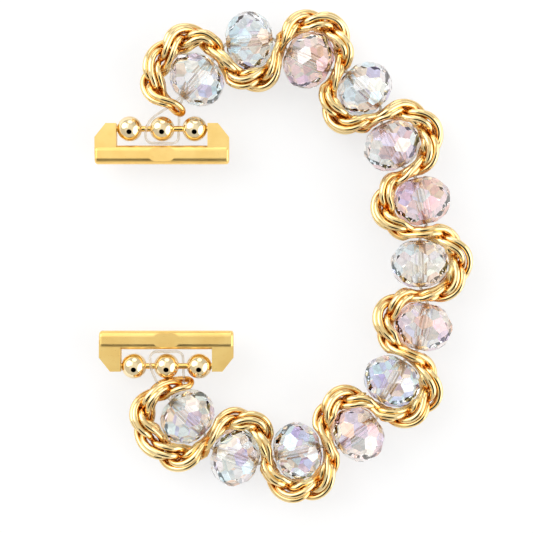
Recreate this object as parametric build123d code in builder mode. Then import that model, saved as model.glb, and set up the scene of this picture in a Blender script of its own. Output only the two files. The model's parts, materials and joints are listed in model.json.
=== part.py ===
from build123d import *

import os
from math import atan2, copysign, cos, degrees, pi, radians, sin, tan

os.makedirs("parts", exist_ok=True)

# Beads: faceted rondelles, drilled along their short axis
bead_diameter = 10.0
bead_length = 8.0
bead_bore = 1.4
bead_sides = 14
end_radius_share = 0.29
ring_radius_share = 0.75
ring_place_share = 0.66
girdle_place_share = 0.1

# The string: heading of each bead in degrees, and its room along the string
bead_headings = (50, 6, -25, -47, -63.5, -77.5, -89, -102, -120.5, -142.5, -168, -198.5, -224.5)
first_leg_heading = 102
last_leg_heading = -287.5
bead_spacing = 10.6
odd_bead_gain = 0.25
tight_gap_gain = 0.4
first_gap_gain = 0.6
last_gap_gain = 0.9
even_bead_push = 1.6

# Curb chain: twisted oval links, woven from one side of the string to the other
chain_wire = 0.72
link_length = 5.0
link_width = 3.0
link_twist = 96.0
link_turn = 87.0
link_roundness = 2.2
link_corners = 12
link_reach = 2.3
link_inset_share = 0.9
link_lean_share = 0.2
links_per_loop = 5
links_per_end_loop = 6
outer_loop_length = 19.9
inner_loop_length = 16.4
end_loop_length = 22.8
outer_loop_radius = 5.1
inner_loop_radius = 4.3
end_loop_radius = 3.9
loop_run_share = 0.95
chain_tail = 3.6

# Doubled elastic cord
cord_diameter = 0.45
cord_offset = 0.3
cord_end_gap = 0.15
cord_clearance = 0.1
cord_lead = 0.6
corner_share = 0.45

# Adapters: horns, slot, tongue, pin and balls
adapter_width = 23.1
slot_width = 15.7
slot_depth = 2.9
horn_tip = 0.9
horn_top_width = 1.8
horn_slope = 2.4
horn_thickness = 2.2
tongue_depth = 3.2
tongue_thickness = 2.6
tongue_edge_radius = 1.0
tongue_corner_radius = 0.5
pin_diameter = 1.0
pin_seat = 1.5
ball_diameter = 4.3
ball_spacing = 5.6
ball_bore = 1.08
first_adapter_drop = 3.8
first_adapter_shift = -2.0
last_adapter_drop = 4.2
last_adapter_shift = 1.0

# Lock button, its spring and the plate that keeps them in the tongue
button_length = 3.0
button_width = 1.5
button_rise = 0.5
flange_margin = 0.35
flange_thickness = 0.4
lip_thickness = 0.55
button_clearance = 0.06
plate_length = 4.6
plate_width = 2.4
plate_thickness = 0.35
spring_thickness = 0.12
spring_width = 1.2
spring_length = 3.2

cut_overrun = 1.0

bead_radius = bead_diameter / 2
centre_height = bead_radius
bead_numbers = range(len(bead_headings))


def heading_vector(angle):
    """Unit vector in the plane of the band for a heading in degrees."""
    return Vector(cos(radians(angle)), sin(radians(angle)), 0)


def crossing_angles():
    """Mean heading of the string at each gap, from the first adapter to the last."""
    angles = (first_leg_heading,) + bead_headings + (last_leg_heading,)
    return [(before + after) / 2 for before, after in zip(angles, angles[1:])]


def string_places():
    """Gap points along the string and the centre of each bead, in the string's plane."""
    gaps = [Vector(0, 0, 0)]
    centres = []
    for number in bead_numbers:
        heading = heading_vector(bead_headings[number])
        outward = heading_vector(bead_headings[number] + 90)
        odd = number % 2 == 0
        half = bead_spacing / 2 + (odd_bead_gain if odd else -odd_bead_gain)
        before = half
        after = half
        if number == bead_numbers[0]:
            before += first_gap_gain
            after += tight_gap_gain
        if number == bead_numbers[1]:
            before += tight_gap_gain
        if number == bead_numbers[-1]:
            after += last_gap_gain
        push = Vector(0, 0, 0) if odd else outward * even_bead_push
        centres.append(gaps[-1] + heading * before + push)
        gaps.append(gaps[-1] + heading * (before + after))
    return gaps, centres


gap_angles = crossing_angles()
gap_points, bead_centres = string_places()
level = Vector(0, 0, centre_height)


def bead_end(number, side, lead=0):
    """Middle of a bead's end face, or a lead beyond it; side -1 faces the first adapter, 1 the last."""
    return bead_centres[number] + heading_vector(bead_headings[number]) * (side * (bead_length / 2 + lead))


def cord_meeting(gap):
    """Where the cord crosses the chain in the gap before the bead of the same number."""
    leaving = bead_end(gap - 1, 1)
    entering = bead_end(gap, -1)
    first = (gap_points[gap] - leaving).dot(heading_vector(gap_angles[gap]))
    second = (entering - gap_points[gap]).dot(heading_vector(gap_angles[gap]))
    return leaving + (entering - leaving) * (first / (first + second))


def corner_radii(points):
    """Radius for each inner corner, as large as the shorter of its two runs allows."""
    radii = []
    for before, corner, after in zip(points, points[1:], points[2:]):
        shorter = min((corner - before).length, (after - corner).length)
        turn = (corner - before).get_angle(after - corner)
        radii.append(corner_share * shorter / tan(radians(turn) / 2))
    return radii


def swept_cord(points):
    """One strand of cord along straight runs and tangent arcs."""
    with BuildPart() as strand:
        with BuildLine() as route:
            FilletPolyline(*points, radius=corner_radii(points))
        path = route.wire()
        with BuildSketch(Plane(origin=path @ 0, z_dir=path % 0)):
            Circle(cord_diameter / 2)
        sweep(path=path)
    return strand.part


def make_bead(number):
    """Faceted rondelle with a bore along the string."""
    plane = Plane(
        origin=bead_centres[number] + level,
        x_dir=Vector(0, 0, 1),
        z_dir=heading_vector(bead_headings[number]),
    )
    half = bead_length / 2
    rings = (
        (half, end_radius_share),
        (half * ring_place_share, ring_radius_share),
        (half * girdle_place_share, 1),
        (-half * girdle_place_share, 1),
        (-half * ring_place_share, ring_radius_share),
        (-half, end_radius_share),
    )
    with BuildPart() as bead:
        for place, radius_share in rings:
            with BuildSketch(plane.offset(place)):
                RegularPolygon(radius=bead_radius * radius_share, side_count=bead_sides)
        loft(ruled=True)
        with BuildSketch(plane):
            Circle(bead_bore / 2)
        extrude(amount=half + cut_overrun, both=True, mode=Mode.SUBTRACT)
    return bead.part


def link_point(angle):
    """Point of the twisted oval: a rounded oval whose width turns steadily along its length."""
    along = link_length / 2 * copysign(abs(cos(angle)) ** (2 / link_roundness), cos(angle))
    across = link_width / 2 * copysign(abs(sin(angle)) ** (2 / link_roundness), sin(angle))
    turn = radians(link_turn - link_twist * along / link_length)
    return Vector(along, across * cos(turn), across * sin(turn))


def make_link():
    """One chain link, made of two halves that are alike by a half turn about its length."""
    half_corners = link_corners // 2
    corners = [link_point(2 * pi * (step + 0.5) / link_corners) for step in range(half_corners)]
    before = corners[0].rotate(Axis.X, 180)
    after = corners[-1].rotate(Axis.X, 180)
    radii = corner_radii([before] + corners + [after])
    points = [(before + corners[0]) / 2] + corners + [(corners[-1] + after) / 2]
    with BuildPart() as half_link:
        with BuildLine() as route:
            FilletPolyline(*points, radius=radii)
        path = route.wire()
        with BuildSketch(Plane(origin=path @ 0, z_dir=path % 0)):
            Circle(chain_wire / 2)
        sweep(path=path)
    with BuildPart() as link:
        add(half_link.part)
        add(half_link.part.rotate(Axis.X, 180))
    return link.part


def widest_corner(length, half_bend):
    """Largest corner radius whose arcs still leave the loop a short straight run on each side."""
    corner_turn = pi / 2 + half_bend
    reach = tan(corner_turn / 2)
    saving_share = 2 * reach - corner_turn
    room = loop_run_share * (length - bead_spacing)
    return room / (2 * ((1 + sin(half_bend)) * reach - loop_run_share * saving_share))


def loop_height(length, radius, half_bend):
    """Distance from the string to a loop's corners that gives the loop its length."""
    corner_turn = pi / 2 + half_bend
    saving = 2 * radius * (2 * tan(corner_turn / 2) - corner_turn)
    return (length - bead_spacing + saving) / (2 * (1 + sin(half_bend)))


def loop_of_bead(number):
    """Corners, corner radius and number of links of the chain's loop round one bead."""
    side = 1 if number % 2 == 0 else -1
    ends = (bead_numbers[0], bead_numbers[-1])
    count = links_per_end_loop if number in ends else links_per_loop
    if number in ends:
        length, radius = end_loop_length, end_loop_radius
    elif side > 0:
        length, radius = outer_loop_length, outer_loop_radius
    else:
        length, radius = inner_loop_length, inner_loop_radius
    half_bend = side * radians(gap_angles[number] - gap_angles[number + 1]) / 2
    radius = min(radius, widest_corner(length, half_bend))
    height = loop_height(length, radius, half_bend)
    first = gap_points[number] + heading_vector(gap_angles[number] + 90) * (side * height)
    second = gap_points[number + 1] + heading_vector(gap_angles[number + 1] + 90) * (side * height)
    return first, second, radius, count


def route_length(points, radii):
    """Length of a route of straight runs and arcs."""
    with BuildLine() as route:
        FilletPolyline(*points, radius=radii)
    return route.wire().length


def chain_stations():
    """Route of the whole chain, and the place of each link on it by bead and order."""
    loops = [loop_of_bead(number) for number in bead_numbers]
    start = gap_points[0] - heading_vector(gap_angles[0] + 90) * (link_length + chain_tail)
    finish = gap_points[-1] - heading_vector(gap_angles[-1] + 90) * (link_length + chain_tail)
    corners = [start]
    radii = []
    for first, second, radius, count in loops:
        corners += [first, second]
        radii += [radius, radius]
    corners.append(finish)
    with BuildLine() as route:
        FilletPolyline(*corners, radius=radii)
    stations = []
    place = link_length + chain_tail
    for number, (first, second, radius, count) in enumerate(loops):
        ends = [gap_points[number], first, second, gap_points[number + 1]]
        length = route_length(ends, [radius, radius])
        for order in range(count):
            stations.append((number, order, place + length * order / count))
        place += length
    last = len(loops)
    stations.append((last, 0, place))
    stations.append((last, 1, place + chain_tail))
    return route.wire(), stations


chain_route, chain_places = chain_stations()


def route_point(place):
    """Point of the chain's route at a length from its start."""
    return chain_route.position_at(place, position_mode=PositionMode.LENGTH)


def route_heading(place):
    """Heading of the chain's route in degrees at a length from its start."""
    direction = chain_route.tangent_at(place, position_mode=PositionMode.LENGTH)
    return degrees(atan2(direction.Y, direction.X))


def link_location(place):
    """Where a link lies: on the chord of its stretch of route, leaning into the bend."""
    behind = route_point(place - link_reach)
    ahead = route_point(place + link_reach)
    chord_middle = (behind + ahead) / 2
    origin = route_point(place) + (chord_middle - route_point(place)) * link_inset_share
    turn = route_heading(place + link_reach) - route_heading(place - link_reach)
    turn = (turn + 180) % 360 - 180
    facing = Location(Plane(origin=origin + level, x_dir=ahead - behind, z_dir=Vector(0, 0, 1)))
    return facing * Location((0, 0, 0), (0, turn * link_lean_share, 0))


def links_of_bead(number):
    """Link places of one bead: its own loop, and both crossings beside every even bead."""
    even = number % 2 == 1
    locations = []
    for owner, order, place in chain_places:
        own_loop = owner == number and order > 0
        own_crossing = even and order == 0 and owner in (number, number + 1)
        first_crossing = number == bead_numbers[0] and order == 0 and owner == number
        last_links = number == bead_numbers[-1] and owner == number + 1
        if own_loop or own_crossing or first_crossing or last_links:
            locations.append(link_location(place))
    return locations


link_part = make_link()


def make_chain(number):
    """The group of links that one bead's stretch of cord carries."""
    with BuildPart() as chain:
        with Locations(*links_of_bead(number)):
            add(link_part)
    return chain.part


def cord_stop(number, side):
    """End of a bead's stretch of cord in the gap beside it, with room for the gap to bend."""
    gap = number + (side + 1) // 2
    end = bead_end(number, side)
    meeting = cord_meeting(gap)
    return meeting + (end - meeting).normalized() * cord_end_gap


def make_cord(number):
    """Two strands through a bead, one above the other."""
    points = [cord_stop(number, -1), bead_end(number, -1), bead_end(number, 1), cord_stop(number, 1)]
    with BuildPart() as cord:
        for offset in (cord_offset, -cord_offset):
            lift = level + Vector(0, 0, offset)
            add(swept_cord([point + lift for point in points]))
    return cord.part


first_pin_centre = gap_points[0] + Vector(first_adapter_shift, -first_adapter_drop)
last_pin_centre = gap_points[-1] + Vector(last_adapter_shift, last_adapter_drop)
adapter_planes = {
    "first": Plane(origin=first_pin_centre + level, x_dir=(1, 0, 0), z_dir=(0, 0, 1)),
    "last": Plane(origin=last_pin_centre + level, x_dir=(-1, 0, 0), z_dir=(0, 0, 1)),
}
pin_wrap = pin_diameter / 2 + cord_diameter / 2 + cord_clearance
ball_wrap = ball_diameter / 2 + cord_diameter / 2 + cord_clearance

# Hand-chosen points of the cord's legs, from the bead to the pin, on each adapter's plane
leg_side_share = 0.74
leg_height_share = 0.72
last_leg_height = last_adapter_drop - cord_diameter
leg_points = {
    "first": (
        [Vector(-ball_wrap * leg_side_share, ball_wrap * leg_height_share, cord_offset)],
        [],
    ),
    "last": (
        [Vector(last_adapter_shift + cord_diameter, last_adapter_drop - 2 * cord_diameter, cord_offset)],
        [Vector(last_adapter_shift - chain_tail - cord_diameter, last_leg_height, -cord_offset)],
    ),
}


def make_end_cord(number, name):
    """One strand from the gap through the bead, round the pin on both sides of the middle ball."""
    near = -1 if name == "first" else 1
    plane = adapter_planes[name]
    sides = (-1, 1) if name == "first" else (1, -1)
    up_legs, down_legs = leg_points[name]
    stop = cord_stop(number, -near)
    upper = level + Vector(0, 0, cord_offset)
    lower = level - Vector(0, 0, cord_offset)
    half_ball = ball_spacing / 2
    wrap = [
        Vector(sides[0] * half_ball, 0, pin_wrap),
        Vector(sides[0] * half_ball, -ball_wrap, cord_offset),
        Vector(sides[1] * half_ball, -ball_wrap, -cord_offset),
        Vector(sides[1] * half_ball, 0, -pin_wrap),
    ]
    exit_point = bead_end(number, near, cord_lead)
    points = [stop + upper, bead_end(number, -near) + upper, exit_point + upper]
    points += [plane.from_local_coords(point) for point in up_legs + wrap + down_legs]
    points += [exit_point + lower, bead_end(number, -near) + lower, stop + lower]
    return swept_cord(points)


def horn_outline(side):
    """Plan of one horn: flat tip, sloping outer edge, straight slot edge."""
    inner = side * slot_width / 2
    top = inner + side * horn_top_width
    outer = side * adapter_width / 2
    return [
        (inner, horn_tip),
        (top, horn_tip),
        (outer, horn_tip - horn_slope),
        (outer, -slot_depth - tongue_depth / 2),
        (inner, -slot_depth - tongue_depth / 2),
    ]


def make_adapter(plane):
    """Tongue that slides into the case, and two horns that hold the pin."""
    tongue_middle = -slot_depth - tongue_depth / 2
    middle = plane.from_local_coords(Vector(0, tongue_middle, 0))
    end_plane = Plane(origin=middle, x_dir=plane.y_dir, z_dir=plane.x_dir)
    pocket_plane = Plane(origin=middle, x_dir=plane.x_dir, z_dir=plane.z_dir)
    half_thickness = tongue_thickness / 2
    flange_length = button_length + 2 * flange_margin
    flange_width = button_width + 2 * flange_margin
    gap = 2 * button_clearance
    with BuildPart() as adapter:
        with BuildSketch(end_plane):
            RectangleRounded(tongue_depth, tongue_thickness, tongue_edge_radius)
        extrude(amount=adapter_width / 2, both=True)
        fillet(adapter.edges().filter_by(Axis.Z), tongue_corner_radius)
        with BuildSketch(plane):
            for side in (-1, 1):
                with BuildLine():
                    Polyline(*horn_outline(side), close=True)
                make_face()
        extrude(amount=horn_thickness / 2, both=True)
        with BuildSketch(Plane(origin=plane.origin, x_dir=plane.y_dir, z_dir=plane.x_dir)):
            Circle(pin_diameter / 2)
        extrude(amount=slot_width / 2 + pin_seat, both=True, mode=Mode.SUBTRACT)
        with BuildSketch(pocket_plane.offset(half_thickness - plate_thickness)):
            SlotOverall(plate_length, plate_width)
        extrude(amount=plate_thickness + cut_overrun, mode=Mode.SUBTRACT)
        with BuildSketch(pocket_plane.offset(lip_thickness - half_thickness)):
            SlotOverall(flange_length + gap, flange_width + gap)
        extrude(amount=tongue_thickness - lip_thickness + cut_overrun, mode=Mode.SUBTRACT)
        with BuildSketch(pocket_plane):
            SlotOverall(button_length + gap, button_width + gap)
        extrude(amount=-(half_thickness + cut_overrun), mode=Mode.SUBTRACT)
    return adapter.part, pocket_plane


def make_pin(plane):
    """Cross pin with both ends seated in the horns."""
    with BuildPart() as pin:
        with BuildSketch(Plane(origin=plane.origin, x_dir=plane.y_dir, z_dir=plane.x_dir)):
            Circle(pin_diameter / 2)
        extrude(amount=slot_width / 2 + pin_seat, both=True)
    return pin.part


def make_ball(plane, place):
    """Drilled ball on the pin."""
    origin = plane.from_local_coords(Vector(place, 0, 0))
    bore_plane = Plane(origin=origin, x_dir=plane.y_dir, z_dir=plane.x_dir)
    with BuildPart() as ball:
        with Locations(bore_plane.location):
            Sphere(ball_diameter / 2)
        with BuildSketch(bore_plane):
            Circle(ball_bore / 2)
        extrude(amount=ball_diameter, both=True, mode=Mode.SUBTRACT)
    return ball.part


def make_button(plane):
    """Lock button: a slot-shaped nose under a wider flange."""
    flange_base = lip_thickness - tongue_thickness / 2 + button_clearance / 2
    with BuildPart() as button:
        with BuildSketch(plane.offset(flange_base)):
            SlotOverall(button_length + 2 * flange_margin, button_width + 2 * flange_margin)
        extrude(amount=flange_thickness)
        with BuildSketch(plane.offset(flange_base)):
            SlotOverall(button_length, button_width)
        extrude(amount=-(lip_thickness + button_rise + button_clearance / 2))
        nose = button.faces().sort_by(Axis.Z)[0]
        fillet(nose.edges(), button_rise / 2)
    return button.part


def make_spring(plane):
    """Bowed leaf between the button's flange and the plate."""
    flange_top = lip_thickness - tongue_thickness / 2 + button_clearance / 2 + flange_thickness
    low = flange_top + button_clearance
    high = tongue_thickness / 2 - plate_thickness - button_clearance / 2
    side_plane = Plane(origin=plane.origin, x_dir=plane.x_dir, z_dir=-plane.y_dir)
    bow = high - low - spring_thickness
    with BuildPart() as spring:
        with BuildSketch(side_plane):
            with BuildLine():
                lower = ThreePointArc((-spring_length / 2, low), (0, low + bow), (spring_length / 2, low))
                upper = ThreePointArc(
                    (-spring_length / 2, low + spring_thickness),
                    (0, low + bow + spring_thickness),
                    (spring_length / 2, low + spring_thickness),
                )
                Line(lower @ 0, upper @ 0)
                Line(lower @ 1, upper @ 1)
            make_face()
        extrude(amount=spring_width / 2, both=True)
    return spring.part


def make_plate(plane):
    """Plate that closes the pocket, flush with the tongue."""
    with BuildPart() as plate:
        with BuildSketch(plane.offset(tongue_thickness / 2 - plate_thickness)):
            SlotOverall(plate_length, plate_width)
        extrude(amount=plate_thickness)
    return plate.part


pieces = {}
for number in bead_numbers:
    pieces[f"crystal_bead_{number + 1:02d}"] = make_bead(number)
    pieces[f"chain_links_{number + 1:02d}"] = make_chain(number)
pieces["elastic_cord_01"] = make_end_cord(bead_numbers[0], "first")
for number in bead_numbers[1:-1]:
    pieces[f"elastic_cord_{number + 1:02d}"] = make_cord(number)
pieces[f"elastic_cord_{len(bead_headings)}"] = make_end_cord(bead_numbers[-1], "last")
for name, plane in adapter_planes.items():
    adapter, pocket = make_adapter(plane)
    pieces[f"{name}_adapter"] = adapter
    pieces[f"{name}_cross_pin"] = make_pin(plane)
    for order in (-1, 0, 1):
        pieces[f"{name}_ball_{order + 2}"] = make_ball(plane, order * ball_spacing)
    pieces[f"{name}_lock_button"] = make_button(pocket)
    pieces[f"{name}_lock_spring"] = make_spring(pocket)
    pieces[f"{name}_retaining_plate"] = make_plate(pocket)

# The origin is below the middle of the band's box, on the surface that it lies on
box = Compound(list(pieces.values())).bounding_box()
origin = Vector((box.min.X + box.max.X) / 2, (box.min.Y + box.max.Y) / 2, box.min.Z)
for name, piece in pieces.items():
    placed = piece.moved(Location(-origin))
    placed.label = name
    export_step(placed, f"parts/{name}.step")

for gap, point in enumerate(gap_points):
    spot = point + level - origin
    crossing = heading_vector(gap_angles[gap] + 90)
    print("gap", gap, *spot, *crossing)
for number in bead_numbers:
    spot = bead_centres[number] + level - origin
    print("bead", number + 1, *spot, *heading_vector(bead_headings[number]))
for name, plane in adapter_planes.items():
    spot = plane.origin - origin
    print("pin", name, *spot, *plane.x_dir)
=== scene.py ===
"""Looks of the bead watch band: faceted crystal beads, a twisted gold chain, balls, cords and adapters.

Everything is in metres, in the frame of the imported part. The band lies on the floor and is seen from above.
"""

import json
import math

import bmesh
import bpy
import numpy as np
from bpy.props import FloatProperty, FloatVectorProperty, IntProperty, PointerProperty, StringProperty
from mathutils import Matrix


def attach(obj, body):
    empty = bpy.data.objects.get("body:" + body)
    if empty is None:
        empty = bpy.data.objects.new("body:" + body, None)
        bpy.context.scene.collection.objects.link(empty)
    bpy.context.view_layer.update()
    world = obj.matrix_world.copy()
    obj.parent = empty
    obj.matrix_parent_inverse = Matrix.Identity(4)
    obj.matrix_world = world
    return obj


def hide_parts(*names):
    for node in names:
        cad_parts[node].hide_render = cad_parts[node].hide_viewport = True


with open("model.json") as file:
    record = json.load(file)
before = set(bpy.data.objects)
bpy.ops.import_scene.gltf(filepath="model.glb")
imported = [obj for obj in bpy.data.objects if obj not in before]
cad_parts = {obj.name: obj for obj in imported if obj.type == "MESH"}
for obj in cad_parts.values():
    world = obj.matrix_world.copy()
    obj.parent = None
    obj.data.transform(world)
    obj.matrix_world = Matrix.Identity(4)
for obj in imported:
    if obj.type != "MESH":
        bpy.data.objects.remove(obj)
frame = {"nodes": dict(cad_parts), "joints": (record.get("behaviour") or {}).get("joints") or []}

bl_info = {
    "name": "Bead watch band",
    "version": (1, 0, 0),
    "blender": (4, 5, 0),
    "location": "View3D > Sidebar > Watch band",
    "description": "Crystal beads, twisted gold chain, elastic cord and slide-in adapters of a watch band",
    "category": "Add Mesh",
}

MM = 0.001
UP = np.array([0.0, 0.0, 1.0])
ENDS = ("first", "last")
BEAD_COUNT = 13
BALLS_ON_A_PIN = 3

NOISE = "ShaderNodeTexNoise"
RAMP = "ShaderNodeValToRGB"
# Noise keeps mostly between 0.3 and 0.7, so ramps that read it have their stops there. Clouds of two tones
# have them nearer together, and so show both tones plainly.
NOISE_LOW = 0.3
NOISE_HIGH = 0.7
CLOUD_LOW = 0.35
CLOUD_HIGH = 0.65
# Shares of the reach from the chain's line, up to which a wire lies in a hollow and from which it stands out
HOLLOW_REACH = 0.3
OPEN_REACH = 0.78

# Grid on which the corners of the CAD links are welded
WELD = 1e-6
# Distances from a bead's axis: within the first the chain squeezes between two beads, and from the second on
# it has its full width beside the bead
WAIST_RADIUS = 2.5 * MM
LOOP_RADIUS = 6.3 * MM
# Points of the chain's line from one CAD link to the next, and points of an oval before it is spaced evenly
SPAN_STEPS = 24
FINE_STEPS = 1440
# A wire that is moved out of one bead can come into the next, so all beads are gone through more than once
CLEARING_PASSES = 3

# Corners of a cut bead that lie nearer than this are one corner, and faces that turn by less are one facet
CORNER_WELD = 0.004 * MM
FACET_TURN = math.radians(1.0)
# Inset that makes the new corners of an end facet, before they move to the rim of the bore
RIM_INSET = 0.3 * MM
# Tints of the coating, most of them clear, pale blue or lavender, and on the rose beads peach and rose
FACET_TINTS = (
    "#ffffff", "#ffffff", "#e0f8ff", "#dccffc", "#e2f6ff", "#ffdfc2", "#fffdf0", "#fdf4f6", "#f9fdff",
)
ROSE_TINTS = (
    "#ffffff", "#fffdfa", "#fff4ee", "#ffd6bc", "#ffe3c6", "#fdd3dc", "#ecdcfb", "#fff9f0", "#eefaff",
)
ROSE_BEADS = (3, 5, 6, 8, 10)

# Light tent: strength of its walls, and of the white that is seen behind the band and through the crystal
TENT_WALLS = 0.68
TENT_SEEN = 1.25
# Patches of the tent: the roof, windows right, left and behind, and the dark hole for the lens. Each has its
# strength, its direction, and the two angles from there, in degrees, between which it fades out.
TENT_PATCHES = (
    (0.92, (0, 0, 1), 25, 55),
    (2.5, (0.93, -0.22, 0.3), 32, 37),
    (2.5, (-0.8, 0.45, 0.65), 22, 27),
    (2.0, (0.1, 1, 0.5), 14, 20),
    (0.0, (-0.03, -0.65, 1), 22, 25),
)
LAMP_SIDE = 0.35
LAMP_PLACE = (-0.25, 0.22, 0.42)
LAMP_TILT = (math.radians(-28), math.radians(-30), 0)
FLOOR_HALF = 1.5
IMAGE_SIDE_PX = 533
NEAREST_SEEN = 0.01
# Height of the cord over the floor, where the scale of the picture holds
CORD_HEIGHT = 5 * MM

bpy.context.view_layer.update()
joints = {joint["name"]: joint for joint in frame["joints"]}


# Numbers and colours

def linear(tone):
    """sRGB hex to linear RGBA. A plain number is a grey that is linear already."""
    if not isinstance(tone, str):
        return (tone, tone, tone, 1.0)
    channels = [int(tone[place:place + 2], 16) / 255 for place in (1, 3, 5)]
    light = [c / 12.92 if c <= 0.04045 else ((c + 0.055) / 1.055) ** 2.4 for c in channels]
    return (*light, 1.0)


def unit(vectors):
    """Vectors divided by their length, along the last axis."""
    return vectors / np.linalg.norm(vectors, axis=-1, keepdims=True)


def joint_line(name):
    """Point and unit direction of a joint's axis."""
    joint = joints[name]
    return np.array(joint["pos_m"]), unit(np.array(joint["axis"], float))


# Materials

def feed(tree, node, **inputs):
    """Sets a node's inputs and links those that are given as sockets, or as nodes for their first output.

    An input is given by its name, or as i0, i1 and so on where names repeat.
    """
    for key, value in inputs.items():
        numbered = key[0] == "i" and key[1:].isdigit()
        socket = node.inputs[int(key[1:]) if numbered else key.replace("_", " ")]
        if isinstance(value, bpy.types.Node):
            value = value.outputs[0]
        if isinstance(value, bpy.types.NodeSocket):
            tree.links.new(value, socket)
        else:
            socket.default_value = value


def add_node(tree, kind, settings=None, stops=(), **inputs):
    """Adds a node, and sets its fields, the (place, tone) stops of its ramp and its inputs."""
    node = tree.nodes.new(kind)
    for field, value in (settings or {}).items():
        setattr(node, field, value)
    if stops:
        elements = node.color_ramp.elements
        while len(elements) < len(stops):
            elements.new(1.0)
        for element, (place, tone) in zip(elements, stops):
            element.position = place
            element.color = linear(tone)
    feed(tree, node, **inputs)
    return node


def new_material(name):
    """Node material with only its Principled shader, and the object's coordinates for its patterns."""
    material = bpy.data.materials.new(name)
    material.use_nodes = True
    tree = material.node_tree
    tree.nodes.clear()
    shader = add_node(tree, "ShaderNodeBsdfPrincipled")
    add_node(tree, "ShaderNodeOutputMaterial", Surface=shader)
    place = add_node(tree, "ShaderNodeTexCoord").outputs["Object"]
    return material, tree, shader, place


def polished_gold_plate(name, light, deep, roughness):
    """Gold plate polished on a buffing wheel: mirror bright, with a faint cloud in the tone of the plate."""
    material, tree, shader, place = new_material(name)
    cloud = add_node(tree, NOISE, Vector=place, Scale=1 / (6 * MM), Detail=3.0)
    tone = add_node(tree, RAMP, stops=((CLOUD_LOW, light), (CLOUD_HIGH, deep)), i0=cloud)
    # The wheel leaves wipes and low waves, both about 1 mm wide
    wipe = add_node(tree, NOISE, Vector=place, Scale=1 / (1.2 * MM), Detail=4.0)
    gloss = add_node(tree, RAMP, i0=wipe,
                     stops=((NOISE_LOW, roughness * 0.7), (NOISE_HIGH, roughness * 1.4)))
    wave = add_node(tree, NOISE, Vector=place, Scale=1 / (0.9 * MM), Detail=1.0)
    bump = add_node(tree, "ShaderNodeBump", Strength=0.06, Distance=0.02 * MM, Height=wave)
    feed(tree, shader, Base_Color=tone, Roughness=gloss, Normal=bump, Metallic=1.0)
    return material


def rope_gold_plate(name, light, deep, hollow, roughness):
    """Gold plate on a rope chain: polished where it stands out, duller in the hollows, and painted deep
    orange there as shade.
    """
    material, tree, shader, place = new_material(name)
    cloud = add_node(tree, NOISE, Vector=place, Scale=1 / (3 * MM), Detail=3.0)
    tone = add_node(tree, RAMP, stops=((CLOUD_LOW, light), (CLOUD_HIGH, deep)), i0=cloud)
    reach = add_node(tree, "ShaderNodeAttribute", {"attribute_name": "reach"}).outputs["Fac"]
    # Painted shade: the deep orange laid into the hollows stands in for the shade between the wires
    hollow_shade_share = add_node(tree, RAMP, stops=((HOLLOW_REACH, 1.0), (OPEN_REACH, 0.0)), i0=reach)
    mixed = add_node(tree, "ShaderNodeMix", {"data_type": "RGBA"}, i0=hollow_shade_share, i6=tone, i7=linear(hollow))
    gloss = add_node(tree, RAMP, stops=((HOLLOW_REACH, roughness * 5), (OPEN_REACH, roughness)), i0=reach)
    wave = add_node(tree, NOISE, Vector=place, Scale=1 / (0.9 * MM), Detail=1.0)
    bump = add_node(tree, "ShaderNodeBump", Strength=0.05, Distance=0.02 * MM, Height=wave)
    feed(tree, shader, Base_Color=mixed.outputs[2], Roughness=gloss, Normal=bump, Metallic=1.0)
    return material


def satin_gold_plate(name, light, deep, roughness):
    """Gold plate over a blasted and lightly brushed casting: even, soft and pale, with a fine grain."""
    material, tree, shader, place = new_material(name)
    cloud = add_node(tree, NOISE, Vector=place, Scale=1 / (4 * MM), Detail=4.0)
    tone = add_node(tree, RAMP, stops=((CLOUD_LOW, light), (CLOUD_HIGH, deep)), i0=cloud)
    # Brushing runs along the adapter. Its lines are too fine to show, so they are drawn 1.6 mm long and
    # 0.08 mm wide
    stretch = add_node(tree, "ShaderNodeMapping", Vector=place, Scale=(1.0, 20.0, 20.0))
    grain = add_node(tree, NOISE, Vector=stretch, Scale=1 / (1.6 * MM), Detail=3.0)
    gloss = add_node(tree, RAMP, i0=grain,
                     stops=((NOISE_LOW, roughness * 0.8), (NOISE_HIGH, roughness * 1.25)))
    bump = add_node(tree, "ShaderNodeBump", Strength=0.12, Distance=0.01 * MM, Height=grain)
    feed(tree, shader, Base_Color=tone, Roughness=gloss, Normal=bump, Metallic=1.0)
    return material


def drawn_steel(name, light, dark, roughness):
    """Drawn spring steel: grey, with fine lines left by the die."""
    material, tree, shader, place = new_material(name)
    # The die's lines are too fine to show, so they are drawn 1 mm long and 0.08 mm wide
    stretch = add_node(tree, "ShaderNodeMapping", Vector=place, Scale=(1.0, 12.0, 12.0))
    lines = add_node(tree, NOISE, Vector=stretch, Scale=1 / (1.0 * MM), Detail=3.0)
    tone = add_node(tree, RAMP, stops=((NOISE_LOW, light), (NOISE_HIGH, dark)), i0=lines)
    gloss = add_node(tree, RAMP, i0=lines,
                     stops=((NOISE_LOW, roughness * 0.8), (NOISE_HIGH, roughness * 1.3)))
    feed(tree, shader, Base_Color=tone, Roughness=gloss, Metallic=1.0)
    return material


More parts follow.
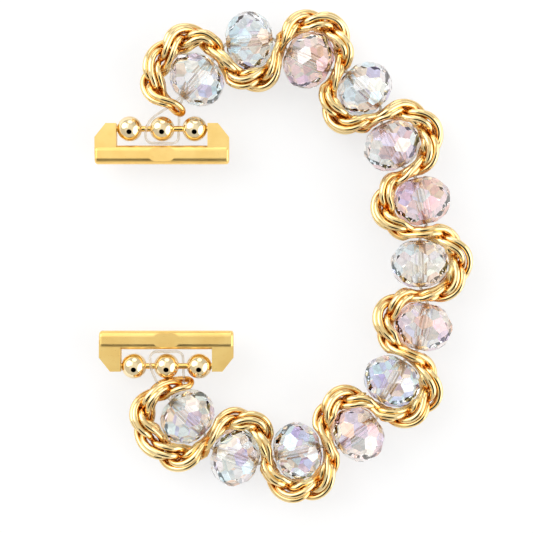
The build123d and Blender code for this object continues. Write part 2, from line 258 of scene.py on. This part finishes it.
def cut_crystal(name, sheen_share):
    """Cut crystal with a vapour coating: clear glass, a pale tint on each facet, and a ground bore."""
    material, tree, shader, place = new_material(name)
    tint = add_node(tree, "ShaderNodeAttribute", {"attribute_name": "facet_tint"})
    drift = add_node(tree, NOISE, Vector=place, Scale=1 / (2.4 * MM), Detail=1.0)
    sheen = add_node(tree, RAMP, i0=drift,
                     stops=((NOISE_LOW, "#f8ecf2"), (0.5, "#fffaf2"), (NOISE_HIGH, "#e6f6fb")))
    mixed = add_node(tree, "ShaderNodeMix", {"data_type": "RGBA", "blend_type": "MULTIPLY"},
                     i0=sheen_share, i6=tint.outputs["Color"], i7=sheen)
    # The ground bore has an alpha of 0 and is frosted, and the facets are polished
    gloss = add_node(tree, RAMP, stops=((0.0, 0.25), (1.0, 0.015)), i0=tint.outputs["Alpha"])
    # The coating is a thin half mirror, so a share of the light is reflected in the facet's own tint
    feed(tree, shader, Base_Color=mixed.outputs[2], Roughness=gloss, IOR=1.54, Transmission_Weight=1.0,
         Metallic=0.16)
    return material


def clear_elastic(name, clear, milky):
    """Extruded polyurethane cord: clear, soft to the light, slightly milky."""
    material, tree, shader, place = new_material(name)
    cloud = add_node(tree, NOISE, Vector=place, Scale=1 / (1.5 * MM), Detail=2.0)
    tone = add_node(tree, RAMP, stops=((CLOUD_LOW, clear), (CLOUD_HIGH, milky)), i0=cloud)
    gloss = add_node(tree, RAMP, stops=((NOISE_LOW, 0.08), (NOISE_HIGH, 0.16)), i0=cloud)
    feed(tree, shader, Base_Color=tone, Roughness=gloss, IOR=1.5, Transmission_Weight=0.85)
    return material


# Meshes

def read_points(mesh):
    """Places of a mesh's points as an array."""
    points = np.empty(len(mesh.vertices) * 3)
    mesh.vertices.foreach_get("co", points)
    return points.reshape(-1, 3)


def turn_outwards(shape):
    """Makes a closed shape's faces agree, and turns them all round if they enclose a negative volume."""
    bmesh.ops.recalc_face_normals(shape, faces=shape.faces)
    if shape.calc_volume(signed=True) < 0:
        bmesh.ops.reverse_faces(shape, faces=shape.faces)


def add_piece(mesh):
    """Object at the origin with the name of its mesh."""
    piece = bpy.data.objects.new(mesh.name, mesh)
    bpy.context.scene.collection.objects.link(piece)
    return piece


def mesh_object(name, points, faces, smooth=True, closed=True):
    """Object at the origin from arrays of points and of faces, with its outside turned outwards."""
    mesh = bpy.data.meshes.new(name)
    mesh.from_pydata(points.tolist(), [], faces.tolist())
    if closed:
        shape = bmesh.new()
        shape.from_mesh(mesh)
        turn_outwards(shape)
        shape.to_mesh(mesh)
        shape.free()
    mesh.polygons.foreach_set("use_smooth", np.full(len(mesh.polygons), smooth))
    return add_piece(mesh)


def closed_grid_faces(rows, columns, first=0):
    """Quads of a grid that closes both ways, as on a ring."""
    row, column = np.meshgrid(np.arange(rows), np.arange(columns), indexing="ij")
    next_row = (row + 1) % rows
    next_column = (column + 1) % columns
    corners = (row * columns + column, row * columns + next_column,
               next_row * columns + next_column, next_row * columns + column)
    return np.stack(corners, axis=-1).reshape(-1, 4) + first


def place_points(points, origin, along, across):
    """Points from a piece's own axes (along, across, third) into the part's frame."""
    third = np.cross(along, across)
    return origin + points @ np.stack([along, across, third])


def finish_piece(piece, material, body, slot, *nodes):
    """Gives a piece its material and its body, and lets it stand for CAD nodes."""
    piece.data.materials.append(material)
    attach(piece, body)
    if nodes:
        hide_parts(*nodes)


def dress_node(name, material):
    """Gives a CAD node that stays its material."""
    node = frame["nodes"][name]
    node.data.materials.clear()
    node.data.materials.append(material)


# Chain

def link_middles(number):
    """Middles of one bead's CAD links, in order round the bead.

    Each triangle's corners take the lowest label among them until nothing changes, so a separate solid has
    one label. A solid's middle is the area mean of its triangles. The order starts at the middle that is
    farthest back along the bead's heading, and goes on to the nearest one that is left.
    """
    mesh = frame["nodes"][f"chain_links_{number:02d}"].data
    mesh.calc_loop_triangles()
    corners = np.empty(len(mesh.loop_triangles) * 3, dtype=int)
    mesh.loop_triangles.foreach_get("vertices", corners)
    grid = np.round(read_points(mesh) / WELD).astype(np.int64)
    welded, where = np.unique(grid, axis=0, return_inverse=True)
    triangles = where.reshape(-1)[corners].reshape(-1, 3)
    labels = np.arange(len(welded))
    while True:
        lowest = labels[triangles].min(axis=1)
        updated = labels.copy()
        np.minimum.at(updated, triangles, lowest[:, None])
        updated = updated[updated]
        if np.array_equal(updated, labels):
            break
        labels = updated
    places = welded[triangles] * WELD
    areas = np.linalg.norm(np.cross(places[:, 1] - places[:, 0], places[:, 2] - places[:, 0]), axis=1)
    solid = np.unique(labels[triangles[:, 0]], return_inverse=True)[1].reshape(-1)
    sums = np.zeros((solid.max() + 1, 3))
    np.add.at(sums, solid, places.mean(axis=1) * areas[:, None])
    middles = sums / np.bincount(solid, weights=areas)[:, None]
    bead, heading = joint_line(f"bead_spin_{number:02d}")
    order = [int((unit(middles - bead) @ heading).argmin())]
    while len(order) < len(middles):
        away = np.linalg.norm(middles - middles[order[-1]], axis=1)
        away[order] = np.inf
        order.append(int(away.argmin()))
    return middles[order]


def smooth_line(knots, steps):
    """Catmull-Rom curve: each span is a cubic whose end slopes are half the chord of the knots beside it."""
    sides = (knots[:-3], knots[1:-2], knots[2:-1], knots[3:])
    before, first, second, after = (side[:, None, :] for side in sides)
    t = (np.arange(steps) / steps)[None, :, None]
    cubic = (2 * first + (second - before) * t + (2 * before - 5 * first + 4 * second - after) * t ** 2
             + (3 * first - before - 3 * second + after) * t ** 3) / 2
    return cubic.reshape(-1, 3)


def lengths_along(points):
    """Length from the first point to each point."""
    return np.concatenate([[0], np.cumsum(np.linalg.norm(np.diff(points, axis=0), axis=1))])


def bead_lines():
    """Middles and headings of all beads."""
    lines = [joint_line(f"bead_spin_{number:02d}") for number in range(1, BEAD_COUNT + 1)]
    return np.array([line[0] for line in lines]), np.array([line[1] for line in lines])


def clear_of_beads(points, room):
    """Points moved out of the beads, to their own ellipsoids grown by the room.

    A point's level is sqrt((x / c)^2 + (r / a)^2) along and across a bead. Where it is under 1 the point
    moves along the ellipsoid's normal by what is missing of its distance from the bead's middle.
    """
    beads = bpy.context.scene.band_beads
    half_length = beads.bulge + room
    half_width = beads.radius + room
    points = points.copy()
    for _ in range(CLEARING_PASSES):
        for middle, heading in zip(*bead_lines()):
            spread = points - middle
            along = (spread @ heading)[:, None] * heading / half_length
            across = (spread - (spread @ heading)[:, None] * heading) / half_width
            level = np.linalg.norm(along + across, axis=1)
            away = unit(along / half_length + across / half_width)
            missing = np.clip(1 / level - 1, 0, None) * np.linalg.norm(spread, axis=1)
            points += away * missing[:, None]
    return points


def room_beside_beads(points):
    """Share of the chain's full width at each point, and the way out from the nearest bead.

    The share is 0 within the waist radius of the nearest bead's axis, where the chain squeezes between two
    beads, and rises evenly to 1 at the loop radius, where it lies beside the bead.
    """
    beads, headings = bead_lines()
    spread = points[:, None] - beads
    nearest = np.linalg.norm(spread, axis=-1).argmin(axis=1)
    spread = spread[np.arange(len(points)), nearest]
    heading = headings[nearest]
    spoke = spread - heading * np.sum(spread * heading, axis=1, keepdims=True)
    reach = np.linalg.norm(spoke, axis=1)
    share = np.clip((reach - WAIST_RADIUS) / (LOOP_RADIUS - WAIST_RADIUS), 0, 1)
    return share, spoke / reach[:, None]


class ChainLine:
    """Centre line of the whole chain, through the middles of the CAD links and a little past both ends."""

    def __init__(self, settings):
        groups = [link_middles(number) for number in range(1, BEAD_COUNT + 1)]
        middles = np.concatenate(groups)
        lead = np.array([[2], [1]]) * (middles[0] - middles[1]) + middles[0]
        tail = np.array([[1], [2]]) * (middles[-1] - middles[-2]) + middles[-1]
        line = smooth_line(np.concatenate([lead, middles, tail]), SPAN_STEPS)
        self.share, outward = room_beside_beads(line)
        self.points = line + outward * self.share[:, None] * settings.stand_off
        self.lengths = lengths_along(self.points)
        heading = unit(np.gradient(self.points, axis=0))
        self.side = unit(np.cross(heading, UP))
        self.first = self.lengths[SPAN_STEPS]
        self.last = self.lengths[-SPAN_STEPS]
        self.owners = np.repeat(np.arange(1, BEAD_COUNT + 1), [len(group) for group in groups])
        self.owner_lengths = self.lengths[SPAN_STEPS * (1 + np.arange(len(middles)))]

    def read(self, values, places):
        """Values along the line at the given lengths."""
        if values.ndim == 1:
            return np.interp(places, self.lengths, values)
        return np.stack([np.interp(places, self.lengths, column) for column in values.T], axis=-1)

    def owner(self, place):
        """Bead whose CAD links lie nearest to a place."""
        return self.owners[np.abs(self.owner_lengths - place).argmin()]


def rope_link(settings, line, place, order):
    """Tube round one twisted oval that follows the chain's line.

    The oval has half length a and half width b: x = a cos^m t, w = b sin^m t with m = 2 / roundness, signs
    kept. x runs along the line, and w stands off it at an angle that turns back by the twist over the link's
    length, and on by the turn from link to link. The part of w that lies flat is squeezed where the chain
    goes between two beads. The tube's ring is spanned by the part of the way from the link's middle that is
    square to the wire, and by its cross product with the wire. Each point also gets its distance from the
    chain's line, as a share of the most that it can be.
    """
    angle = np.linspace(0, 2 * math.pi, FINE_STEPS + 1)
    power = 2 / settings.roundness
    along = settings.length / 2 * np.sign(np.cos(angle)) * np.abs(np.cos(angle)) ** power
    wide = settings.width / 2 * np.sign(np.sin(angle)) * np.abs(np.sin(angle)) ** power
    lean = settings.turn * order - settings.twist * along / settings.length
    squeeze = settings.waist + (1 - settings.waist) * line.read(line.share, place + along)
    fine = (line.read(line.points, place + along) + UP * (wide * np.cos(lean))[:, None]
            + line.read(line.side, place + along) * (wide * np.sin(lean) * squeeze)[:, None])
    fine = clear_of_beads(fine, settings.wire / 2 + settings.clearance)
    # The oval's own pace crowds its sides, so its points are spaced evenly along the wire
    pace = lengths_along(fine)
    even = np.arange(settings.path_steps) / settings.path_steps * pace[-1]
    wire = np.stack([np.interp(even, pace, column) for column in fine.T], axis=-1)
    heading = unit(np.roll(wire, -1, axis=0) - np.roll(wire, 1, axis=0))
    spoke = wire - wire.mean(axis=0)
    spoke = unit(spoke - heading * np.sum(spoke * heading, axis=1, keepdims=True))
    other = np.cross(heading, spoke)
    ring = 2 * math.pi * np.arange(settings.ring_steps) / settings.ring_steps
    circle = np.cos(ring)[None, :, None] * spoke[:, None, :] + np.sin(ring)[None, :, None] * other[:, None, :]
    tube = wire[:, None, :] + settings.wire / 2 * circle
    middle = line.read(line.points, place + np.interp(even, pace, along))
    reach = np.linalg.norm(tube - middle[:, None, :], axis=-1) / (settings.width / 2 + settings.wire / 2)
    return tube.reshape(-1, 3), reach.ravel()


def chain_groups(settings):
    """Links of the whole chain, as one piece of separate rings for each bead's CAD node."""
    line = ChainLine(settings)
    rings = {number: [] for number in range(1, BEAD_COUNT + 1)}
    run = line.last - line.first - 2 * settings.end_inset
    count = round(run / settings.pitch) + 1
    places = np.linspace(line.first + settings.end_inset, line.last - settings.end_inset, count)
    for order, place in enumerate(places):
        rings[line.owner(place)].append(rope_link(settings, line, place, order))
    for number, group in rings.items():
        points = np.concatenate([tube for tube, reach in group])
        faces = [closed_grid_faces(settings.path_steps, settings.ring_steps, order * len(group[0][0]))
                 for order in range(len(group))]
        piece = mesh_object(f"twisted_chain_{number:02d}", points, np.concatenate(faces))
        layer = piece.data.attributes.new("reach", "FLOAT", "POINT")
        layer.data.foreach_set("value", np.concatenate([reach for tube, reach in group]))
        yield number, piece


# Beads

def facet_planes(settings):
    """Normals and distances of a bead's facets about the X axis.

    Rows of facets touch an ellipsoid of half length c and radius a. A row whose normal leans by p from the
    girdle lies sqrt((a cos p)^2 + (c sin p)^2) from the centre, and every other row starts half a facet on.
    """
    normals = []
    distances = []
    sides = settings.sides
    for row, lean in enumerate(settings.leans_deg):
        for half in (-1, 1):
            start = 0.5 * ((row + (half > 0)) % 2)
            turn = 2 * math.pi * (np.arange(sides) + start) / sides
            p = math.radians(lean) * half
            normals.append(np.stack([np.full(sides, math.sin(p)), math.cos(p) * np.cos(turn),
                                     math.cos(p) * np.sin(turn)], axis=-1))
            reach = math.hypot(settings.radius * math.cos(p), settings.bulge * math.sin(p))
            distances.append(np.full(sides, reach))
    for half in (-1, 1):
        normals.append(np.array([[half, 0.0, 0.0]]))
        distances.append(np.array([settings.length / 2]))
    return np.concatenate(normals), np.concatenate(distances)


def cut_solid(normals, distances):
    """Solid between planes: each face of the hull of the points n / d gives one of its corners."""
    polar = bmesh.new()
    for point in normals / distances[:, None]:
        polar.verts.new(point)
    bmesh.ops.convex_hull(polar, input=polar.verts)
    gem = bmesh.new()
    for face in polar.faces:
        gem.verts.new(face.normal / face.normal.dot(face.verts[0].co))
    polar.free()
    bmesh.ops.remove_doubles(gem, verts=gem.verts, dist=CORNER_WELD)
    bmesh.ops.convex_hull(gem, input=gem.verts)
    bmesh.ops.dissolve_limit(gem, angle_limit=FACET_TURN, verts=gem.verts, edges=gem.edges)
    return gem


def drill(gem, length, bore_radius):
    """Opens both end facets to a round bore, whose rim has one corner for each corner of the facet."""
    rims = []
    for half in (-1, 1):
        end = max(gem.faces, key=lambda face: face.calc_center_median().x * half)
        bmesh.ops.inset_individual(gem, faces=[end], thickness=RIM_INSET)
        for vert in end.verts:
            spoke = np.array([vert.co.y, vert.co.z])
            spoke = spoke / np.linalg.norm(spoke) * bore_radius
            vert.co = (half * length / 2, *spoke)
        rims += list(end.edges)
        bmesh.ops.delete(gem, geom=[end], context="FACES_ONLY")
    bore = bmesh.ops.bridge_loops(gem, edges=rims)
    for face in bore["faces"]:
        face.smooth = True


def paint_facets(mesh, number, seed):
    """Gives each facet one of the coating's pale tints, and the ground bore white with an alpha of 0."""
    choice = np.random.default_rng(seed + number)
    tints = np.array([linear(tint) for tint in (ROSE_TINTS if number in ROSE_BEADS else FACET_TINTS)])
    faces = tints[choice.integers(0, len(tints), len(mesh.polygons))]
    bore = np.empty(len(mesh.polygons), dtype=bool)
    mesh.polygons.foreach_get("use_smooth", bore)
    faces[bore] = (1.0, 1.0, 1.0, 0.0)
    sizes = np.empty(len(mesh.polygons), dtype=int)
    mesh.polygons.foreach_get("loop_total", sizes)
    layer = mesh.color_attributes.new("facet_tint", "FLOAT_COLOR", "CORNER")
    layer.data.foreach_set("color", np.repeat(faces, sizes, axis=0).ravel())


def make_bead(number, settings):
    """One drilled, faceted bead with a tint for each facet."""
    gem = cut_solid(*facet_planes(settings))
    drill(gem, settings.length, settings.bore / 2)
    turn_outwards(gem)
    mesh = bpy.data.meshes.new(f"faceted_bead_{number:02d}")
    gem.to_mesh(mesh)
    gem.free()
    centre, heading = joint_line(f"bead_spin_{number:02d}")
    # Each bead is turned on the cord by its own amount, as beads are that spin freely
    roll = math.radians(settings.roll_step) * number
    across = math.cos(roll) * UP + math.sin(roll) * np.cross(heading, UP)
    placed = place_points(read_points(mesh), centre, heading, across)
    mesh.vertices.foreach_set("co", placed.ravel())
    mesh.update()
    paint_facets(mesh, number, settings.seed)
    return add_piece(mesh)


# Balls

def ball_points(radius, bore_radius, rows, columns):
    """Drilled ball about the X axis.

    The profile runs over the sphere, x = R cos p and r = R sin p, from one rim of the bore to the other, and
    back along the bore at its own radius. It is turned about X by the column angle. A fifth of its points lie
    in the bore, and the outer two of them repeat the rims.
    """
    rim = math.asin(bore_radius / radius)
    over = rows - rows // 5
    p = np.linspace(rim, math.pi - rim, over)
    back = np.linspace(math.pi - rim, rim, rows - over + 2)[1:-1]
    inside = radius * np.cos(rim) * np.cos(back) / np.cos(back).max()
    along = np.concatenate([radius * np.cos(p), inside])
    out = np.concatenate([radius * np.sin(p), np.full(len(back), bore_radius)])
    turn = 2 * math.pi * np.arange(columns) / columns
    grid = np.stack([np.broadcast_to(along[:, None], (len(along), columns)),
                     out[:, None] * np.cos(turn), out[:, None] * np.sin(turn)], axis=-1)
    return grid.reshape(-1, 3)


# Stage

def studio_world(world):
    """Light tent seen by direction: bright windows, a softer roof and a dark hole for the lens.

    A patch has its full strength where a direction's dot product with its own is over the cosine of the inner
    angle, and none where it is under that of the outer. The camera and the rays through crystal see white.
    """
    world.use_nodes = True
    tree = world.node_tree
    tree.nodes.clear()
    direction = add_node(tree, "ShaderNodeTexCoord").outputs["Generated"]
    light = TENT_WALLS
    for strength, towards, inner, outer in TENT_PATCHES:
        dot = add_node(tree, "ShaderNodeVectorMath", {"operation": "DOT_PRODUCT"},
                       i0=direction, i1=tuple(unit(np.array(towards, float))))
        mask = add_node(tree, "ShaderNodeMapRange", {"interpolation_type": "SMOOTHSTEP"},
                        Value=dot.outputs["Value"], From_Min=math.cos(math.radians(outer)),
                        From_Max=math.cos(math.radians(inner)))
        light = add_node(tree, "ShaderNodeMix", {"data_type": "FLOAT"}, i0=mask, i2=light, i3=strength)
    rays = add_node(tree, "ShaderNodeLightPath").outputs
    clear = add_node(tree, "ShaderNodeMath", {"operation": "MAXIMUM"},
                     i0=rays["Is Camera Ray"], i1=rays["Is Transmission Ray"])
    seen = add_node(tree, "ShaderNodeMix", {"data_type": "FLOAT"}, i0=clear, i2=light, i3=TENT_SEEN)
    background = add_node(tree, "ShaderNodeBackground", Color=linear("#ffffff"), Strength=seen)
    add_node(tree, "ShaderNodeOutputWorld", Surface=background)


def matt_white_board(name, tone, glow_share):
    """Matt white board: plain, and brightened for the camera, so that it looks white and keeps the shadow."""
    material, tree, shader, place = new_material(name)
    cloud = add_node(tree, NOISE, Vector=place, Scale=1 / (40 * MM), Detail=2.0)
    paint = add_node(tree, RAMP, stops=((NOISE_LOW, tone), (NOISE_HIGH, "#ffffff")), i0=cloud)
    feed(tree, shader, Base_Color=paint, Roughness=0.9, Specular_IOR_Level=0.1)
    glow = add_node(tree, "ShaderNodeEmission", Color=linear("#ffffff"))
    rays = add_node(tree, "ShaderNodeLightPath").outputs
    clear = add_node(tree, "ShaderNodeMath", {"operation": "MAXIMUM"},
                     i0=rays["Is Camera Ray"], i1=rays["Is Transmission Ray"])
    share = add_node(tree, "ShaderNodeMath", {"operation": "MULTIPLY"}, i0=clear, i1=glow_share)
    mix = add_node(tree, "ShaderNodeMixShader", i0=share, i1=shader, i2=glow)
    output = next(node for node in tree.nodes if node.type == "OUTPUT_MATERIAL")
    feed(tree, output, Surface=mix)
    return material


# Settings

class ChainSettings(bpy.types.PropertyGroup):
    """Sizes of the chain's twisted oval links."""

    wire: FloatProperty(
        name="Wire", description="Diameter of the link's wire", default=1.1 * MM, unit="LENGTH")
    length: FloatProperty(
        name="Length", description="Length of a link between wire centres", default=7.4 * MM, unit="LENGTH")
    width: FloatProperty(
        name="Width", description="Width of a link between wire centres", default=4.2 * MM, unit="LENGTH")
    pitch: FloatProperty(
        name="Pitch", description="From one link to the next along the chain", default=2.0 * MM,
        unit="LENGTH")
    waist: FloatProperty(
        name="Waist", description="Share of its width that the chain keeps between two beads", default=0.62)
    stand_off: FloatProperty(
        name="Stand off", description="How far the loops are drawn out from the beads", default=0.35 * MM,
        unit="LENGTH")
    clearance: FloatProperty(
        name="Clearance", description="Between the wires and the beads", default=0.32 * MM, unit="LENGTH")
    end_inset: FloatProperty(
        name="End inset", description="From the CAD chain's end link to the middle of its own",
        default=1.9 * MM, unit="LENGTH")
    twist: FloatProperty(
        name="Twist", description="Turn of a link's width over its length", default=math.radians(88),
        subtype="ANGLE")
    turn: FloatProperty(
        name="Turn", description="Turn of the width from one link to the next", default=math.radians(116),
        subtype="ANGLE")
    roundness: FloatProperty(name="Roundness", description="2 is an ellipse, more is squarer", default=2.2)
    path_steps: IntProperty(name="Path steps", description="Rings along a link", default=56)
    ring_steps: IntProperty(name="Ring steps", description="Points round the wire", default=14)
    gold_light: StringProperty(name="Light gold", description="Lighter tone of the plate", default="#fce2a8")
    gold_dark: StringProperty(name="Deep gold", description="Deeper tone of the plate", default="#f5d492")
    # Tone of the painted shade in the chain's hollows, between the wires
    gold_hollow_shade: StringProperty(
        name="Hollow gold", description="Tone of the plate between the wires", default="#de9628")
    roughness: FloatProperty(name="Roughness", description="Roughness of the polished plate", default=0.03)


class BeadSettings(bpy.types.PropertyGroup):
    """Sizes and tints of the crystal beads."""

    radius: FloatProperty(
        name="Radius", description="Radius that the facets touch", default=4.76 * MM, unit="LENGTH")
    bulge: FloatProperty(
        name="Bulge", description="Half length of the ellipsoid that the facets touch", default=4.25 * MM,
        unit="LENGTH")
    length: FloatProperty(
        name="Length", description="Between the end faces", default=8.0 * MM, unit="LENGTH")
    bore: FloatProperty(
        name="Bore", description="Diameter of the bore across its corners", default=1.52 * MM, unit="LENGTH")
    sides: IntProperty(name="Sides", description="Facets in a row", default=10)
    roll_step: FloatProperty(
        name="Roll step", description="Turn from one bead to the next, in degrees", default=37.0)
    leans_deg: FloatVectorProperty(
        name="Leans", description="Lean of each row of facets from the girdle, in degrees",
        size=3, default=(14.0, 39.0, 64.0))
    seed: IntProperty(name="Seed", description="Seed of the facets' tints", default=11)
    sheen_share: FloatProperty(
        name="Sheen share", description="Strength of the drifting sheen over the facets' tints",
        default=0.2)


class BallSettings(bpy.types.PropertyGroup):
    """Sizes of the gold balls."""

    radius: FloatProperty(
        name="Radius", description="Radius of a ball", default=2.15 * MM, unit="LENGTH")
    bore: FloatProperty(
        name="Bore", description="Diameter of the bore", default=1.08 * MM, unit="LENGTH")
    rows: IntProperty(name="Rows", description="Steps of the profile, over the ball and back", default=48)
    columns: IntProperty(name="Columns", description="Steps round the ball", default=64)
    gold_light: StringProperty(name="Light gold", description="Lighter tone of the plate", default="#fdeabf")
    gold_dark: StringProperty(name="Deep gold", description="Deeper tone of the plate", default="#f6dcab")
    roughness: FloatProperty(name="Roughness", description="Roughness of the polished plate", default=0.05)


class CordSettings(bpy.types.PropertyGroup):
    """Tones of the elastic cord."""

    clear: StringProperty(name="Clear", description="Clearer tone", default="#f6f1e8")
    milky: StringProperty(name="Milky", description="Milkier tone", default="#e9e0d2")


class AdapterSettings(bpy.types.PropertyGroup):
    """Tones of the adapters and of what they hold."""

    satin_light: StringProperty(
        name="Light satin", description="Lighter tone of the plate", default="#ffdc8a")
    satin_dark: StringProperty(
        name="Deep satin", description="Deeper tone of the plate", default="#f8d07c")
    roughness: FloatProperty(name="Roughness", description="Roughness of the satin plate", default=0.34)
    steel_light: StringProperty(
        name="Light steel", description="Lighter tone of the spring", default="#c9cbcd")
    steel_dark: StringProperty(
        name="Dark steel", description="Darker tone of the spring", default="#8e9194")


class StageSettings(bpy.types.PropertyGroup):
    """Floor, light and camera."""

    floor: StringProperty(name="Floor", description="Colour of the floor", default="#fbfbfb")
    floor_glow: FloatProperty(
        name="Floor glow", description="Share of white that the camera sees in the floor", default=0.7)
    pixels_per_mm: FloatProperty(
        name="Pixels per mm", description="Scale of the photograph's frame", default=5.8)
    middle_x: FloatProperty(
        name="Middle X", description="What the middle of the frame looks at", default=-2.2 * MM,
        unit="LENGTH")
    middle_y: FloatProperty(
        name="Middle Y", description="What the middle of the frame looks at", default=-2.4 * MM,
        unit="LENGTH")
    lens: FloatProperty(name="Lens", description="Focal length in mm", default=90.0)
    key_power: FloatProperty(name="Key", description="Power of the key lamp in watts", default=0.35)


# Operators

class BAND_OT_chain(bpy.types.Operator):
    """Makes the twisted gold chain"""

    bl_idname = "band.chain"
    bl_label = "Twisted chain"

    def execute(self, context):
        settings = context.scene.band_chain
        gold = rope_gold_plate("polished_gold_plate_chain", settings.gold_light, settings.gold_dark,
                               settings.gold_hollow_shade, settings.roughness)
        for number, piece in chain_groups(settings):
            finish_piece(piece, gold, f"bead_link_{number:02d}", "polished_gold", f"chain_links_{number:02d}")
        return {"FINISHED"}


class BAND_OT_beads(bpy.types.Operator):
    """Makes the faceted crystal beads"""

    bl_idname = "band.beads"
    bl_label = "Crystal beads"

    def execute(self, context):
        settings = context.scene.band_beads
        crystal = cut_crystal("cut_crystal_coated", settings.sheen_share)
        for number in range(1, BEAD_COUNT + 1):
            piece = make_bead(number, settings)
            finish_piece(piece, crystal, f"bead_{number:02d}", "crystal", f"crystal_bead_{number:02d}")
        return {"FINISHED"}


class BAND_OT_balls(bpy.types.Operator):
    """Makes the gold balls on the pins"""

    bl_idname = "band.balls"
    bl_label = "Gold balls"

    def execute(self, context):
        settings = context.scene.band_balls
        gold = polished_gold_plate("polished_gold_plate_balls", settings.gold_light, settings.gold_dark,
                                   settings.roughness)
        points = ball_points(settings.radius, settings.bore / 2, settings.rows, settings.columns)
        faces = closed_grid_faces(settings.rows, settings.columns)
        for end in ENDS:
            for order in range(1, BALLS_ON_A_PIN + 1):
                centre, along = joint_line(f"{end}_ball_spin_{order}")
                placed = place_points(points, centre, along, UP)
                piece = mesh_object(f"{end}_gold_ball_{order}", placed, faces)
                finish_piece(piece, gold, f"{end}_ball_{order}", "polished_gold", f"{end}_ball_{order}")
        return {"FINISHED"}


class BAND_OT_cords(bpy.types.Operator):
    """Finishes the elastic cord"""

    bl_idname = "band.cords"
    bl_label = "Elastic cord"

    def execute(self, context):
        settings = context.scene.band_cords
        elastic = clear_elastic("clear_polyurethane_cord", settings.clear, settings.milky)
        for number in range(1, BEAD_COUNT + 1):
            dress_node(f"elastic_cord_{number:02d}", elastic)
        return {"FINISHED"}


class BAND_OT_adapters(bpy.types.Operator):
    """Finishes the adapters, their pins, lock buttons, springs and plates"""

    bl_idname = "band.adapters"
    bl_label = "Adapters"

    def execute(self, context):
        settings = context.scene.band_adapters
        satin = satin_gold_plate("satin_gold_plate", settings.satin_light, settings.satin_dark,
                                 settings.roughness)
        pin = polished_gold_plate("drawn_gold_plated_pin", settings.satin_light, settings.satin_dark,
                                  settings.roughness / 2)
        steel = drawn_steel("drawn_spring_steel", settings.steel_light, settings.steel_dark,
                            settings.roughness)
        for end in ENDS:
            dress_node(f"{end}_adapter", satin)
            dress_node(f"{end}_cross_pin", pin)
            dress_node(f"{end}_lock_button", satin)
            dress_node(f"{end}_retaining_plate", satin)
            dress_node(f"{end}_lock_spring", steel)
        return {"FINISHED"}


class BAND_OT_stage(bpy.types.Operator):
    """Makes the floor, the light and the camera"""

    bl_idname = "band.stage"
    bl_label = "Stage"

    def execute(self, context):
        scene = context.scene
        settings = scene.band_stage
        corners = FLOOR_HALF * np.array([(-1, -1, 0), (1, -1, 0), (1, 1, 0), (-1, 1, 0)])
        floor = mesh_object("white_floor", corners, np.array([(0, 1, 2, 3)]), smooth=False, closed=False)
        board = matt_white_board("matt_white_board", settings.floor, settings.floor_glow)
        floor.data.materials.append(board)
        scene.world = bpy.data.worlds.new("light_tent")
        studio_world(scene.world)
        key = bpy.data.lights.new("key_softbox", "AREA")
        key.size = LAMP_SIDE
        key.energy = settings.key_power
        lamp = bpy.data.objects.new("key_softbox", key)
        lamp.location = LAMP_PLACE
        lamp.rotation_euler = LAMP_TILT
        scene.collection.objects.link(lamp)
        camera = bpy.data.cameras.new("photo_camera")
        camera.lens = settings.lens
        camera.clip_start = NEAREST_SEEN
        width_seen = IMAGE_SIDE_PX / settings.pixels_per_mm * MM
        distance = width_seen * camera.lens / camera.sensor_width
        eye = bpy.data.objects.new("photo_camera", camera)
        eye.location = (settings.middle_x, settings.middle_y, CORD_HEIGHT + distance)
        scene.collection.objects.link(eye)
        scene.camera = eye
        scene.view_settings.view_transform = "Standard"
        return {"FINISHED"}


class BAND_PT_panel(bpy.types.Panel):
    """Lists the pieces of the watch band."""

    bl_idname = "BAND_PT_panel"
    bl_label = "Watch band"
    bl_space_type = "VIEW_3D"
    bl_region_type = "UI"
    bl_category = "Watch band"

    def draw(self, context):
        for operator in OPERATORS:
            self.layout.operator(operator.bl_idname)


OPERATORS = (BAND_OT_stage, BAND_OT_beads, BAND_OT_chain, BAND_OT_balls, BAND_OT_cords, BAND_OT_adapters)
SETTINGS = {
    "band_chain": ChainSettings,
    "band_beads": BeadSettings,
    "band_balls": BallSettings,
    "band_cords": CordSettings,
    "band_adapters": AdapterSettings,
    "band_stage": StageSettings,
}


def register():
    """Registers the settings, the operators and the panel."""
    for name, group in SETTINGS.items():
        bpy.utils.register_class(group)
        setattr(bpy.types.Scene, name, PointerProperty(type=group))
    for operator in OPERATORS:
        bpy.utils.register_class(operator)
    bpy.utils.register_class(BAND_PT_panel)


def unregister():
    """Removes what register added."""
    bpy.utils.unregister_class(BAND_PT_panel)
    for operator in reversed(OPERATORS):
        bpy.utils.unregister_class(operator)
    for name, group in reversed(SETTINGS.items()):
        delattr(bpy.types.Scene, name)
        bpy.utils.unregister_class(group)


def main():
    """Makes every piece in order."""
    register()
    bpy.ops.band.stage()
    bpy.ops.band.beads()
    bpy.ops.band.chain()
    bpy.ops.band.balls()
    bpy.ops.band.cords()
    bpy.ops.band.adapters()


if __name__ == "__main__":
    main()
